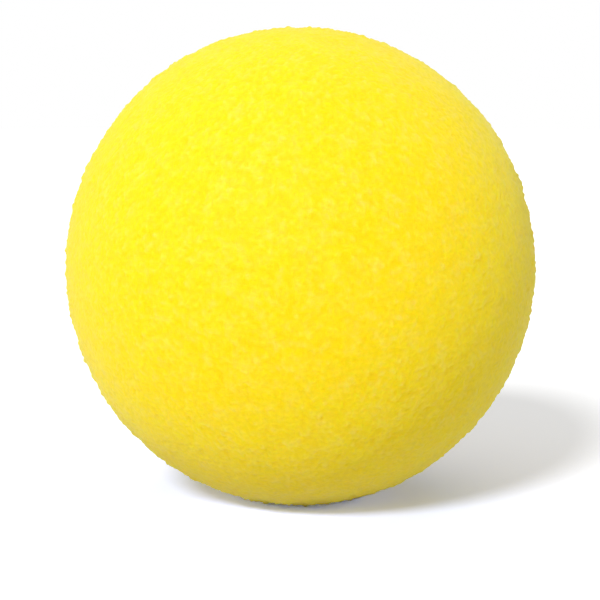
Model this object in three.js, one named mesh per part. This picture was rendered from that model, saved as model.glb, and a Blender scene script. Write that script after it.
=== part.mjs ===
// Foam ball
// A soft ball cut in one piece from a block of open-cell foam, as it lies on a floor.
// Millimetres, +Z up. The origin is on the floor, in the middle of the patch that the ball rests on.

import * as THREE from "three";

// Driving dimensions
const ballWidth = 70; // level with the floor, the same all round
const ballHeight = 71; // from the floor to the crown, a little more than the width
const restPatchDiameter = 12; // the flat that the ball's own weight presses into the soft foam

// Facets
const arcSteps = 36; // from the edge of the rest patch up to the crown
const aroundSteps = 72; // once round the ball

// Finish
const foamColour = 0xfce41c;
const foamRoughness = 0.95;
const foamMetalness = 0;

// Half of the ball's upright section: out along the rest patch, then up an oval arc to the crown.
// The oval's foot is cut off level by the rest patch, so its centre is a little under half way up.
function ballOutline() {
  const halfWidth = ballWidth / 2;
  const patchRadius = restPatchDiameter / 2;
  const patchEdgeAngle = Math.acos(patchRadius / halfWidth);
  const halfHeight = ballHeight / (1 + Math.sin(patchEdgeAngle));
  const centreHeight = ballHeight - halfHeight;
  const crownAngle = Math.PI / 2;
  const arc = new THREE.EllipseCurve(
    0, centreHeight, halfWidth, halfHeight, -patchEdgeAngle, crownAngle,
  );
  const patchMiddle = new THREE.Vector2(0, 0);
  return [patchMiddle, ...arc.getPoints(arcSteps)];
}

// The ball itself: solid foam right through, with no skin, seam or core
function makeFoamBall() {
  const foam = new THREE.MeshStandardMaterial({
    color: foamColour,
    roughness: foamRoughness,
    metalness: foamMetalness,
  });
  const ball = new THREE.Mesh(new THREE.LatheGeometry(ballOutline(), aroundSteps), foam);
  ball.name = "foam_ball";
  ball.rotation.x = Math.PI / 2; // the section turns about Y, and the ball stands along Z
  return ball;
}

const foamBall = new THREE.Group();
foamBall.add(makeFoamBall());

export default foamBall;
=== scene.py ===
# Foam ball: the looks of a soft ball cut in one piece from yellow open-cell foam, lying on a white floor
import math
from itertools import product

import bpy
import numpy as np
from bpy.props import FloatProperty, FloatVectorProperty, IntProperty, PointerProperty
from mathutils import Euler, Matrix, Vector


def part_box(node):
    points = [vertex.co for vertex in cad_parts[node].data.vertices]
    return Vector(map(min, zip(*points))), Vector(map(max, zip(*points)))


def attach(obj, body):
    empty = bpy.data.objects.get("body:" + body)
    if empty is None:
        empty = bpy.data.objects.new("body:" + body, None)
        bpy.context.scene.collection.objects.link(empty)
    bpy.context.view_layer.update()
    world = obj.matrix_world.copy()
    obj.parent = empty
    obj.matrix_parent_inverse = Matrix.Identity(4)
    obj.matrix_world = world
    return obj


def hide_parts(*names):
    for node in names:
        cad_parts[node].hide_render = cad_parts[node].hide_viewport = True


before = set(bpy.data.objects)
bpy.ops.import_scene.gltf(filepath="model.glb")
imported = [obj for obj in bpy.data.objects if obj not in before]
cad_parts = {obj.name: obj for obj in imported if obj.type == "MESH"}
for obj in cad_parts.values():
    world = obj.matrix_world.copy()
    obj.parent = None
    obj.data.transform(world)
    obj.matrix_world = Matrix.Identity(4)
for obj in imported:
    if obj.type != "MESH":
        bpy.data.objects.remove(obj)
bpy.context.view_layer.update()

bl_info = {
    "name": "Foam ball",
    "version": (1, 0, 0),
    "blender": (4, 5, 0),
    "location": "View3D > Sidebar > Foam ball",
    "description": "Builds a soft open-cell foam ball with its cut cells, and a plain stage for it",
    "category": "Mesh",
}

# The solid ball that this one dresses, in metres
BALL_NODE = "foam_ball"
BALL_LOW, BALL_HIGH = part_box(BALL_NODE)
FLOOR_TOUCH = 1e-5
REST_PATCH_DIAMETER = 2 * max(
    math.hypot(corner.co.x, corner.co.y)
    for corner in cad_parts[BALL_NODE].data.vertices
    if corner.co.z < FLOOR_TOUCH
)

# The mesh's value for its relief, and its flat map, on which a cube's six sides lie in rows
RELIEF = "foam_relief"
BAKE_MAP = "OFBake"
MAP_COLUMNS = 3
MAP_ROWS = 2
MAP_MARGIN = 0.01

# Random hills are a sum of waves, whose lengths lie between these shares of the length asked for
WAVE_COUNT = 96
SHORTEST_WAVE = 0.7
LONGEST_WAVE = 1.4

# Pores: the narrowest as a share of the widest, their radius over their depth, and how steep they are
NARROWEST_PORE = 0.6
PORE_FLATNESS = 3
PORE_STEEPNESS = 1.5

# Relief at which the foam has the pits' colour and the tips' colour, in steps of the relief's own spread: a
# painted deeper yellow in the pits and a painted pale sheen on the tips
PIT_RELIEF = -2.2
TIP_RELIEF = 4.0

# Values of the strands' noise in their gaps and at their tips, where the painted shade is deepest and the
# painted light brightest
STRAND_GAP = 0.25
STRAND_TIP = 0.75

# Powers of the nearness to the ball, by which the floor's two painted colours come in: a bluish tint that
# cancels the yellow light off the ball, and painted light that lifts the shade under it
BESIDE_POWER = 4.0
UNDER_POWER = 36.0

WHITE = (1.0, 1.0, 1.0, 1.0)

# The photograph's frame, in pixels from its upper left corner, and where the ball's outline lies in it
IMAGE_SIDE = 600
OUTLINE_MIDDLE = (300.3, 266.4)
OUTLINE_RADIUS = 237.2


class FoamBallShape(bpy.types.PropertyGroup):
    """Sizes of the whole ball"""

    width: FloatProperty(
        name="Width",
        description="Across the ball, level with the floor",
        default=BALL_HIGH.x - BALL_LOW.x,
        unit="LENGTH",
    )
    height: FloatProperty(
        name="Height",
        description="From the floor to the crown",
        default=BALL_HIGH.z - BALL_LOW.z,
        unit="LENGTH",
    )
    rest_patch: FloatProperty(
        name="Rest patch",
        description="Diameter of the flat that the ball's weight presses into its underside",
        default=REST_PATCH_DIAMETER,
        unit="LENGTH",
    )
    swell_height: FloatProperty(
        name="Swell height",
        description="How far the cut ball wanders in and out of true",
        default=0.00006,
        unit="LENGTH",
    )
    swell_length: FloatProperty(
        name="Swell length",
        description="Distance from one gentle swell of the ball to the next",
        default=0.022,
        unit="LENGTH",
    )
    squares: IntProperty(
        name="Squares",
        description="Mesh squares along a quarter of the way round the ball",
        default=256,
        min=8,
    )


class FoamCells(bpy.types.PropertyGroup):
    """Sizes of the foam's cut cells"""

    nub_share: FloatProperty(
        name="Nub share",
        description="Share of the mesh's corners at which a nub of cut cell walls stands up",
        default=0.18,
        subtype="FACTOR",
    )
    nub_rounds: IntProperty(
        name="Nub rounds",
        description="Rounds of softening, each of which makes the nubs wider and lower",
        default=3,
    )
    nub_height: FloatProperty(
        name="Nub height",
        description="How far the nubs stand up, as a standard deviation",
        default=0.00007,
        unit="LENGTH",
    )
    dent_height: FloatProperty(
        name="Dent height",
        description="How far the surface wanders in and out over many nubs",
        default=0.00006,
        unit="LENGTH",
    )
    dent_length: FloatProperty(
        name="Dent length",
        description="Distance from one shallow dent to the next",
        default=0.0045,
        unit="LENGTH",
    )
    grit_share: FloatProperty(
        name="Grit share",
        description="Share of the mesh's corners at which the end of a single cut cell wall stands up",
        default=0.3,
        subtype="FACTOR",
    )
    grit_rounds: IntProperty(
        name="Grit rounds",
        description="Rounds of softening, each of which makes the grit wider and lower",
        default=1,
    )
    grit_height: FloatProperty(
        name="Grit height",
        description="How far the grit stands up, as a standard deviation",
        default=0.000035,
        unit="LENGTH",
    )
    # The paleness at the tips is painted sheen
    grit_paleness: FloatProperty(
        name="Grit paleness",
        description="How much of the paleness at the tips is the grit's, on the scale of the nubs",
        default=0.4,
    )
    velvet: FloatProperty(
        name="Velvet",
        description="How far the light follows the curve of the whole ball instead of that of each nub",
        default=0.93,
        subtype="FACTOR",
    )
    pore_count: IntProperty(
        name="Pores",
        description="How many larger bubbles stand open over the whole ball",
        default=60,
        min=0,
    )
    pore_radius: FloatProperty(
        name="Pore radius",
        description="Radius of the widest of the larger open bubbles",
        default=0.0009,
        unit="LENGTH",
    )
    sinking: FloatProperty(
        name="Sinking",
        description="How deep the foam lies below the true ball, so that its nubs reach it",
        default=0.00015,
        unit="LENGTH",
    )
    seed: IntProperty(
        name="Seed",
        description="Which of many foams this one is",
        default=7,
    )


class FoamFinish(bpy.types.PropertyGroup):
    """Colours and gloss of the foam"""

    # Three yellows that differ only in blue. Along the relief they paint a deeper yellow into the pits, as
    # light bouncing there gives, and a pale sheen onto the nub tips
    pit_colour: FloatVectorProperty(
        name="Pit colour",
        description="Deep in the open cells",
        default=(0.955, 0.722, 0.0005),
        subtype="COLOR",
    )
    body_colour: FloatVectorProperty(
        name="Body colour",
        description="On the slopes between pits and nubs",
        default=(0.955, 0.722, 0.011),
        subtype="COLOR",
    )
    tip_sheen_colour: FloatVectorProperty(
        name="Tip colour",
        description="On the pale tips of the nubs",
        default=(0.955, 0.722, 0.055),
        subtype="COLOR",
    )
    cloud_length: FloatProperty(
        name="Cloud length",
        description="Distance from one paler cloud of the colour to the next",
        default=0.002,
        unit="LENGTH",
    )
    cloud_detail: FloatProperty(
        name="Cloud detail",
        description="How many finer layers break up the clouds",
        default=2.0,
        min=0,
    )
    cloud_share: FloatProperty(
        name="Cloud share",
        description="How much the clouds shift the colour, in steps of the relief's own spread",
        default=9.0,
    )
    # Painted light and shade that follow the strands' bump: brighter on their tips, darker in their gaps
    painted_strand_shade: FloatProperty(
        name="Grain",
        description="How much brighter the tips of the strands are than their mean, and the gaps darker",
        default=0.05,
        subtype="FACTOR",
    )
    strand_length: FloatProperty(
        name="Strand length",
        description="Distance between the finest cut strands",
        default=0.0006,
        unit="LENGTH",
    )
    strand_detail: FloatProperty(
        name="Strand detail",
        description="How many finer layers break up the strands",
        default=1.0,
        min=0,
    )
    strand_height: FloatProperty(
        name="Strand height",
        description="Height of the finest cut strands",
        default=0.00012,
        unit="LENGTH",
    )
    roughness: FloatProperty(
        name="Roughness",
        description="How far the strands blur what they mirror",
        default=0.6,
        subtype="FACTOR",
    )
    gloss: FloatProperty(
        name="Gloss",
        description="How strongly the strands mirror the light, where smooth plastic has 0.5",
        default=0.12,
        subtype="FACTOR",
    )
    diffuse_roughness: FloatProperty(
        name="Diffuse roughness",
        description="How evenly the uneven foam throws its light back all round",
        default=1.0,
        subtype="FACTOR",
    )
    sheen: FloatProperty(
        name="Sheen",
        description="Pale bloom of the cut strands where the surface turns away",
        default=0.1,
        subtype="FACTOR",
    )
    sheen_roughness: FloatProperty(
        name="Sheen roughness",
        description="How far the bloom reaches in from where the surface turns away",
        default=0.5,
        subtype="FACTOR",
    )
    glow: FloatProperty(
        name="Glow",
        description="Share of the light that wanders through the foam before it leaves",
        default=0.76,
        subtype="FACTOR",
    )
    glow_length: FloatProperty(
        name="Glow length",
        description="How far red light wanders through the foam",
        default=0.01,
        unit="LENGTH",
    )
    glow_shares: FloatVectorProperty(
        name="Glow shares",
        description="How far red, green and blue light wander, as shares of the glow length",
        default=(1.0, 0.5, 0.08),
    )


class FoamStage(bpy.types.PropertyGroup):
    """Floor, light and camera"""

    floor_colour: FloatVectorProperty(
        name="Floor colour",
        description="Plain pale floor",
        default=(0.68, 0.68, 0.68),
        subtype="COLOR",
    )
    seen_colour: FloatVectorProperty(
        name="Seen colour",
        description="Floor as the camera sees it, a little over white so that the lit floor is white",
        default=(1.2, 1.2, 1.2),
        subtype="COLOR",
    )
    # Painted bluish tint on the floor beside the ball, which cancels the yellow light off the ball in its
    # shadow
    beside_painted_tint: FloatVectorProperty(
        name="Beside colour",
        description="The same beside the ball, where it makes up for the yellow light off the ball",
        default=(1.0, 1.13, 1.6),
        subtype="COLOR",
    )
    # Painted light on the floor under the ball, which lifts the contact shadow and cancels its yellow
    under_painted_light: FloatVectorProperty(
        name="Under colour",
        description="The same under the ball, where it makes up for the depth of the shade as well",
        default=(5.8, 7.5, 18.0),
        subtype="COLOR",
    )
    beside_share: FloatProperty(
        name="Beside share",
        description="Nearness to the ball, raised to its power, from which the beside colour holds in full",
        default=0.5,
        subtype="FACTOR",
    )
    floor_size: FloatProperty(
        name="Floor size",
        description="Length of the floor's sides",
        default=8.0,
        unit="LENGTH",
    )
    room_light: FloatProperty(
        name="Room light",
        description="Strength of the even light from all round",
        default=0.62,
    )
    key_light: FloatProperty(
        name="Key light",
        description="Strength of the lamp, on a surface that faces it",
        default=2.25,
    )
    key_height: FloatProperty(
        name="Key height",
        description="Angle of the lamp above the floor",
        default=math.radians(34),
        subtype="ANGLE",
    )
    key_side: FloatProperty(
        name="Key side",
        description="Angle of the lamp to the left of the camera",
        default=math.radians(24),
        subtype="ANGLE",
    )
    key_softness: FloatProperty(
        name="Key softness",
        description="Angle that the lamp fills, which softens its shadow's edge",
        default=math.radians(14),
        subtype="ANGLE",
    )
    camera_height: FloatProperty(
        name="Camera height",
        description="Angle of the camera above the ball's middle",
        default=math.radians(5.5),
        subtype="ANGLE",
    )
    lens: FloatProperty(
        name="Lens",
        description="Focal length of the camera",
        default=100.0,
        unit="CAMERA",
    )


class FoamBallSettings(bpy.types.PropertyGroup):
    """All settings of the foam ball"""

    shape: PointerProperty(type=FoamBallShape)
    cells: PointerProperty(type=FoamCells)
    finish: PointerProperty(type=FoamFinish)
    stage: PointerProperty(type=FoamStage)


# Mesh of the ball

def cube_lattice(steps):
    """A cube's six sides cut into squares.

    Gives the whole-numbered place of each corner, the corners of each square in outward order, and
    the place of each square's corners on the flat map of the sides.
    """
    run = np.arange(steps + 1)
    first, second = (grid.ravel() for grid in np.meshgrid(run, run, indexing="ij"))
    row = steps + 1
    start = (run[:-1, None] * row + run[:-1]).ravel()
    round_square = np.array([0, row, row + 1, 1])
    places, squares, flat = [], [], []
    for axis, far in product(range(3), (False, True)):
        side = 2 * axis + far
        place = np.empty((row * row, 3), int)
        place[:, axis] = steps * far
        place[:, (axis + 1) % 3] = first
        place[:, (axis + 2) % 3] = second
        corner = start[:, None] + (round_square if far else round_square[::-1])
        places.append(place)
        squares.append(corner + side * row * row)
        flat.append(map_places(first[corner] / steps, second[corner] / steps, side))
    places, number = np.unique(np.concatenate(places), axis=0, return_inverse=True)
    return places, number.ravel()[np.concatenate(squares)], np.concatenate(flat)


def map_places(across, up, side):
    """Where points of one side lie on the flat map, with a margin round each side"""
    column, level = side % MAP_COLUMNS, side // MAP_COLUMNS
    inner = 1 - 2 * MAP_MARGIN
    return np.stack(
        (
            (column + MAP_MARGIN + inner * across) / MAP_COLUMNS,
            (level + MAP_MARGIN + inner * up) / MAP_ROWS,
        ),
        axis=-1,
    )


def ball_directions(places, steps):
    """Even directions outward from the ball's middle, one for each corner of the cube's squares"""
    on_cube = np.tan((places / steps - 0.5) * math.pi / 2)
    return on_cube / np.linalg.norm(on_cube, axis=1, keepdims=True)


def waves(points, length, rng):
    """Smooth random hills of about this length, of either sign, with a mean square of 1"""
    ways = rng.normal(size=(WAVE_COUNT, 3))
    ways /= np.linalg.norm(ways, axis=1, keepdims=True)
    pitch = 2 * math.pi / (length * rng.uniform(SHORTEST_WAVE, LONGEST_WAVE, WAVE_COUNT))
    turns = points @ (ways * pitch[:, None]).T + rng.uniform(0, 2 * math.pi, WAVE_COUNT)
    return np.cos(turns).sum(axis=1) * math.sqrt(2 / WAVE_COUNT)


def softened(values, squares, rounds):
    """The corners' values after these rounds of averaging over the squares that meet at each"""
    meeting = np.bincount(squares.ravel())
    for _ in range(rounds):
        means = values[squares].mean(axis=1)
        shared = np.repeat(means, squares.shape[1])
        values = np.bincount(squares.ravel(), weights=shared) / meeting
    return values


def raised_nubs(squares, share, rounds, rng):
    """Round nubs of uneven size, scattered over the ball, with a mean of 0 and a mean square of 1"""
    corners = squares.max() + 1
    nubs = rng.random(corners) * (rng.random(corners) < share)
    nubs = softened(nubs, squares, rounds)
    return (nubs - nubs.mean()) / nubs.std()


def open_pores(points, cells, rng):
    """How deep a few larger bubbles, scattered over the ball, open below each point"""
    depth = np.zeros(len(points))
    for middle in rng.integers(len(points), size=cells.pore_count):
        radius = cells.pore_radius * rng.uniform(NARROWEST_PORE, 1)
        share = ((points - points[middle]) ** 2).sum(axis=1) / radius**2
        bowl = np.maximum(1 - share, 0) ** PORE_STEEPNESS
        depth = np.maximum(depth, radius / PORE_FLATNESS * bowl)
    return depth


def ball_half_height(shape):
    """From the ball's middle to its crown, where the rest patch takes a little off its foot"""
    return shape.height / (1 + math.sqrt(1 - (shape.rest_patch / shape.width) ** 2))


def ball_middle(shape):
    """Where the ball's middle is, above the middle of its rest patch"""
    return Vector((0, 0, shape.height - ball_half_height(shape)))


def turn_normals(mesh, outward, velvet):
    """Let the light follow the curve of the whole ball more than that of each nub"""
    normals = np.empty(outward.size)
    mesh.vertex_normals.foreach_get("vector", normals)
    normals = (1 - velvet) * normals.reshape(-1, 3) + velvet * outward
    normals /= np.linalg.norm(normals, axis=1, keepdims=True)
    mesh.normals_split_custom_set_from_vertices(normals)


def make_ball_mesh(shape, cells):
    """The ball's mesh, with every cell of the foam in it, and its relief as a vertex value"""
    rng = np.random.default_rng(cells.seed)
    places, squares, flat = cube_lattice(shape.squares)
    outward = ball_directions(places, shape.squares)
    half_height = ball_half_height(shape)
    points = outward * (shape.width / 2, shape.width / 2, half_height)
    points[:, 2] += shape.height - half_height

    nubs = raised_nubs(squares, cells.nub_share, cells.nub_rounds, rng)
    grit = raised_nubs(squares, cells.grit_share, cells.grit_rounds, rng)
    pores = open_pores(points, cells, rng)
    rise = cells.nub_height * nubs + cells.grit_height * grit - pores - cells.sinking
    rise += cells.dent_height * waves(points, cells.dent_length, rng)
    rise += shape.swell_height * waves(points, shape.swell_length, rng)
    points += outward * rise[:, None]
    points[:, 2] = np.maximum(points[:, 2], 0)

    mesh = bpy.data.meshes.new("foam_ball_cut")
    mesh.from_pydata(points, [], squares)
    # Relief for the colour: paler at nub and grit tips for a painted sheen, deeper in the pores for painted
    # light kept in them
    relief = nubs + cells.grit_paleness * grit - pores / cells.nub_height
    mesh.attributes.new(RELIEF, "FLOAT", "POINT").data.foreach_set("value", relief)
    mesh.uv_layers.new(name=BAKE_MAP).data.foreach_set("uv", flat.ravel())
    mesh.shade_smooth()
    mesh.update()
    turn_normals(mesh, outward, cells.velvet)
    return mesh


# Materials

def add_node(tree, kind, **values):
    """A new node with these sockets or settings"""
    node = tree.nodes.new(kind)
    for name, value in values.items():
        if name in node.inputs:
            node.inputs[name].default_value = value
        else:
            setattr(node, name, value)
    return node


def new_material(name):
    """An empty node material with its output"""
    material = bpy.data.materials.new(name)
    material.use_nodes = True
    material.node_tree.nodes.clear()
    return material, material.node_tree, add_node(material.node_tree, "ShaderNodeOutputMaterial")


def opaque(colour):
    """A colour with full alpha"""
    return (*colour, 1.0)


def add_noise(tree, place, length, detail):
    """Smooth random values over the foam, about this length from one high to the next"""
    noise = add_node(tree, "ShaderNodeTexNoise", Scale=1 / length, Detail=detail)
    tree.links.new(place, noise.inputs["Vector"])
    return noise.outputs["Fac"]


def clouded_yellow(tree, finish, place):
    """The foam's yellow, clouded at random, with a painted deeper yellow in the open cells and a painted
    pale sheen on the nubs
    """
    clouds = add_noise(tree, place, finish.cloud_length, finish.cloud_detail)
    relief = add_node(tree, "ShaderNodeAttribute", attribute_name=RELIEF)
    mottle = add_node(tree, "ShaderNodeMath", operation="MULTIPLY_ADD")
    mottle.inputs[1].default_value = finish.cloud_share
    spread = add_node(tree, "ShaderNodeMapRange")
    spread.inputs["From Min"].default_value = finish.cloud_share / 2 + PIT_RELIEF
    spread.inputs["From Max"].default_value = finish.cloud_share / 2 + TIP_RELIEF
    # Painted deeper yellow at the pit end of the ramp, painted pale sheen at the tip end
    ramp = add_node(tree, "ShaderNodeValToRGB")
    stops = ramp.color_ramp.elements
    stops[0].color = opaque(finish.pit_colour)
    stops[1].color = opaque(finish.tip_sheen_colour)
    stops.new(PIT_RELIEF / (PIT_RELIEF - TIP_RELIEF)).color = opaque(finish.body_colour)
    link = tree.links.new
    link(clouds, mottle.inputs[0])
    link(relief.outputs["Fac"], mottle.inputs[2])
    link(mottle.outputs["Value"], spread.inputs["Value"])
    link(spread.outputs["Result"], ramp.inputs["Fac"])
    return ramp.outputs["Color"]


def strand_shaded(tree, finish, colour, strands):
    """A colour with painted light on the tips of the strands' bump and painted shade in their gaps"""
    tips = add_node(tree, "ShaderNodeMapRange")
    tips.inputs["From Min"].default_value = STRAND_GAP
    tips.inputs["From Max"].default_value = STRAND_TIP
    tips.inputs["To Min"].default_value = 1 - finish.painted_strand_shade
    tips.inputs["To Max"].default_value = 1 + finish.painted_strand_shade
    painted_strand_shade = add_node(tree, "ShaderNodeMixRGB", blend_type="MULTIPLY", Fac=1.0)
    link = tree.links.new
    link(strands, tips.inputs["Value"])
    link(colour, painted_strand_shade.inputs["Color1"])
    link(tips.outputs["Result"], painted_strand_shade.inputs["Color2"])
    return painted_strand_shade.outputs["Color"]


def make_foam_material(finish):
    """Yellow foam with fine cut strands, matt, with a pale bloom where it turns away"""
    material, tree, output = new_material("yellow_foam")
    place = add_node(tree, "ShaderNodeTexCoord").outputs["Object"]
    strands = add_noise(tree, place, finish.strand_length, finish.strand_detail)
    yellow = clouded_yellow(tree, finish, place)
    bump = add_node(tree, "ShaderNodeBump", Distance=finish.strand_height)
    foam = add_node(tree, "ShaderNodeBsdfPrincipled", Roughness=finish.roughness)
    foam.inputs["Specular IOR Level"].default_value = finish.gloss
    foam.inputs["Diffuse Roughness"].default_value = finish.diffuse_roughness
    foam.inputs["Sheen Weight"].default_value = finish.sheen
    foam.inputs["Sheen Roughness"].default_value = finish.sheen_roughness
    foam.inputs["Subsurface Weight"].default_value = finish.glow
    foam.inputs["Subsurface Radius"].default_value = finish.glow_shares
    foam.inputs["Subsurface Scale"].default_value = finish.glow_length
    link = tree.links.new
    # The base colour carries the painted shade of the strands' gaps and the painted light on their tips
    link(strand_shaded(tree, finish, yellow, strands), foam.inputs["Base Color"])
    link(strands, bump.inputs["Height"])
    link(bump.outputs["Normal"], foam.inputs["Normal"])
    link(foam.outputs["BSDF"], output.inputs["Surface"])
    return material


def seen_directly(tree):
    """Where a ray comes from the camera, or from a mirror or glass, so that they show the same"""
    ray = add_node(tree, "ShaderNodeLightPath")
    mirrored = add_node(tree, "ShaderNodeMath", operation="MAXIMUM")
    seen = add_node(tree, "ShaderNodeMath", operation="MAXIMUM")
    link = tree.links.new
    link(ray.outputs["Is Glossy Ray"], mirrored.inputs[0])
    link(ray.outputs["Is Transmission Ray"], mirrored.inputs[1])
    link(ray.outputs["Is Camera Ray"], seen.inputs[0])
    link(mirrored.outputs["Value"], seen.inputs[1])
    return seen.outputs["Value"]


def ball_nearness(tree, shape):
    """How near a place on the floor is to the ball: 1 right under its middle, and less further off"""
    middle = ball_middle(shape)
    place = add_node(tree, "ShaderNodeNewGeometry")
    away = add_node(tree, "ShaderNodeVectorMath", operation="DISTANCE")
    away.inputs[1].default_value = middle
    near = add_node(tree, "ShaderNodeMath", operation="DIVIDE")
    near.inputs[0].default_value = middle.z
    link = tree.links.new
    link(place.outputs["Position"], away.inputs[0])
    link(away.outputs["Value"], near.inputs[1])
    return near.outputs["Value"]


def floor_as_seen(tree, stage, shape):
    """The floor's colour to the camera, painted near the ball with a tint that cancels the yellow light off
    the ball and with light that lifts its shade
    """
    near = ball_nearness(tree, shape)
    raised = add_node(tree, "ShaderNodeMath", operation="POWER")
    raised.inputs[1].default_value = BESIDE_POWER
    beside = add_node(tree, "ShaderNodeMapRange")
    beside.inputs["From Max"].default_value = stage.beside_share
    under = add_node(tree, "ShaderNodeMath", operation="POWER")
    under.inputs[1].default_value = UNDER_POWER
    outer = add_node(
        tree,
        "ShaderNodeMixRGB",
        Color1=opaque(stage.seen_colour),
        Color2=opaque(stage.beside_painted_tint),
    )
    tint = add_node(tree, "ShaderNodeMixRGB", Color2=opaque(stage.under_painted_light))
    link = tree.links.new
    link(near, raised.inputs[0])
    link(raised.outputs["Value"], beside.inputs["Value"])
    link(beside.outputs["Result"], outer.inputs["Fac"])
    link(near, under.inputs[0])
    link(under.outputs["Value"], tint.inputs["Fac"])
    link(outer.outputs["Color"], tint.inputs["Color1"])
    return tint.outputs["Color"]


def make_floor_material(stage, shape):
    """Plain matt floor, which the camera sees whiter, with the ball's shadow on it, tinted and lifted near
    the ball by painted light
    """
    material, tree, output = new_material("pale_floor")
    floor = add_node(tree, "ShaderNodeBsdfDiffuse", Color=opaque(stage.floor_colour))
    seen = add_node(tree, "ShaderNodeBsdfDiffuse")
    pick = add_node(tree, "ShaderNodeMixShader")
    link = tree.links.new
    link(floor_as_seen(tree, stage, shape), seen.inputs["Color"])
    link(seen_directly(tree), pick.inputs["Fac"])
    link(floor.outputs["BSDF"], pick.inputs[1])
    link(seen.outputs["BSDF"], pick.inputs[2])
    link(pick.outputs["Shader"], output.inputs["Surface"])
    return material


def make_room(strength):
    """Even light from all round, which the camera and mirrors see as white"""
    world = bpy.data.worlds.new("white_room")
    world.use_nodes = True
    tree = world.node_tree
    tree.nodes.clear()
    output = add_node(tree, "ShaderNodeOutputWorld")
    room = add_node(tree, "ShaderNodeBackground", Color=WHITE, Strength=strength)
    white = add_node(tree, "ShaderNodeBackground", Color=WHITE, Strength=1.0)
    pick = add_node(tree, "ShaderNodeMixShader")
    link = tree.links.new
    link(seen_directly(tree), pick.inputs["Fac"])
    link(room.outputs["Background"], pick.inputs[1])
    link(white.outputs["Background"], pick.inputs[2])
    link(pick.outputs["Shader"], output.inputs["Surface"])
    return world


# Stage

def add_object(name, data):
    """A new object in the scene"""
    thing = bpy.data.objects.new(name, data)
    bpy.context.scene.collection.objects.link(thing)
    return thing


def make_floor(stage, shape):
    """A wide level floor that the ball lies on"""
    half = stage.floor_size / 2
    corners = [(-half, -half, 0), (half, -half, 0), (half, half, 0), (-half, half, 0)]
    mesh = bpy.data.meshes.new("floor")
    mesh.from_pydata(corners, [], [(0, 1, 2, 3)])
    mesh.materials.append(make_floor_material(stage, shape))
    floor = add_object("floor", mesh)


def make_key_light(stage):
    """A soft lamp in front of the ball, above it and to its left"""
    lamp = bpy.data.lights.new("key_light", "SUN")
    lamp.energy = stage.key_light
    lamp.angle = stage.key_softness
    level = math.cos(stage.key_height)
    left = level * math.sin(stage.key_side)
    front = level * math.cos(stage.key_side)
    towards = Vector((-left, -front, math.sin(stage.key_height)))
    key = add_object("key_light", lamp)
    key.rotation_euler = towards.to_track_quat("Z", "Y").to_euler()
    key.location = towards


def make_camera(stage, shape):
    """A camera that sees the ball where the photograph has it, at the same size"""
    data = bpy.data.cameras.new("camera")
    data.lens = stage.lens
    camera = add_object("camera", data)
    pixels_per_slope = IMAGE_SIDE * data.lens / data.sensor_width
    radius = (shape.width / 2 + ball_half_height(shape)) / 2
    reach = math.atan(OUTLINE_RADIUS / pixels_per_slope)
    back = Vector((0, -math.cos(stage.camera_height), math.sin(stage.camera_height)))
    camera.location = ball_middle(shape) + back * radius / math.sin(reach)
    # A ball off the picture's middle has its outline a little further out than its own middle
    aside, drop = (
        math.atan((IMAGE_SIDE / 2 - place) * math.cos(reach) ** 2 / pixels_per_slope)
        for place in OUTLINE_MIDDLE
    )
    camera.rotation_euler = Euler((math.pi / 2 - stage.camera_height - drop, 0, -aside))
    bpy.context.scene.camera = camera


class FOAMBALL_OT_ball(bpy.types.Operator):
    """Build the ball with its cut foam cells"""

    bl_idname = "foamball.ball"
    bl_label = "Foam ball"

    def execute(self, context):
        settings = context.scene.foam_ball
        mesh = make_ball_mesh(settings.shape, settings.cells)
        mesh.materials.append(make_foam_material(settings.finish))
        ball = add_object("yellow_foam_ball", mesh)
        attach(ball, "root")
        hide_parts(BALL_NODE)
        return {"FINISHED"}


class FOAMBALL_OT_stage(bpy.types.Operator):
    """Set out the floor, the light and the camera"""

    bl_idname = "foamball.stage"
    bl_label = "Stage"

    def execute(self, context):
        settings = context.scene.foam_ball
        make_floor(settings.stage, settings.shape)
        make_key_light(settings.stage)
        make_camera(settings.stage, settings.shape)
        context.scene.world = make_room(settings.stage.room_light)
        context.scene.view_settings.view_transform = "Standard"
        return {"FINISHED"}


class FOAMBALL_PT_sidebar(bpy.types.Panel):
    """Settings and buttons of the foam ball"""

    bl_idname = "FOAMBALL_PT_sidebar"
    bl_label = "Foam ball"
    bl_space_type = "VIEW_3D"
    bl_region_type = "UI"
    bl_category = "Foam ball"

    def draw(self, context):
        settings = context.scene.foam_ball
        for group in (settings.shape, settings.cells, settings.finish, settings.stage):
            box = self.layout.box()
            for name in group.__annotations__:
                box.prop(group, name)
        self.layout.operator(FOAMBALL_OT_ball.bl_idname)
        self.layout.operator(FOAMBALL_OT_stage.bl_idname)


CLASSES = (
    FoamBallShape,
    FoamCells,
    FoamFinish,
    FoamStage,
    FoamBallSettings,
    FOAMBALL_OT_ball,
    FOAMBALL_OT_stage,
    FOAMBALL_PT_sidebar,
)


def register():
    """Make the settings, operators and panel known to Blender"""
    for cls in CLASSES:
        bpy.utils.register_class(cls)
    bpy.types.Scene.foam_ball = PointerProperty(type=FoamBallSettings)


def unregister():
    """Take them away again"""
    del bpy.types.Scene.foam_ball
    for cls in reversed(CLASSES):
        bpy.utils.unregister_class(cls)


def main():
    """Build the ball and its stage"""
    register()
    bpy.ops.foamball.ball()
    bpy.ops.foamball.stage()


if __name__ == "__main__":
    main()
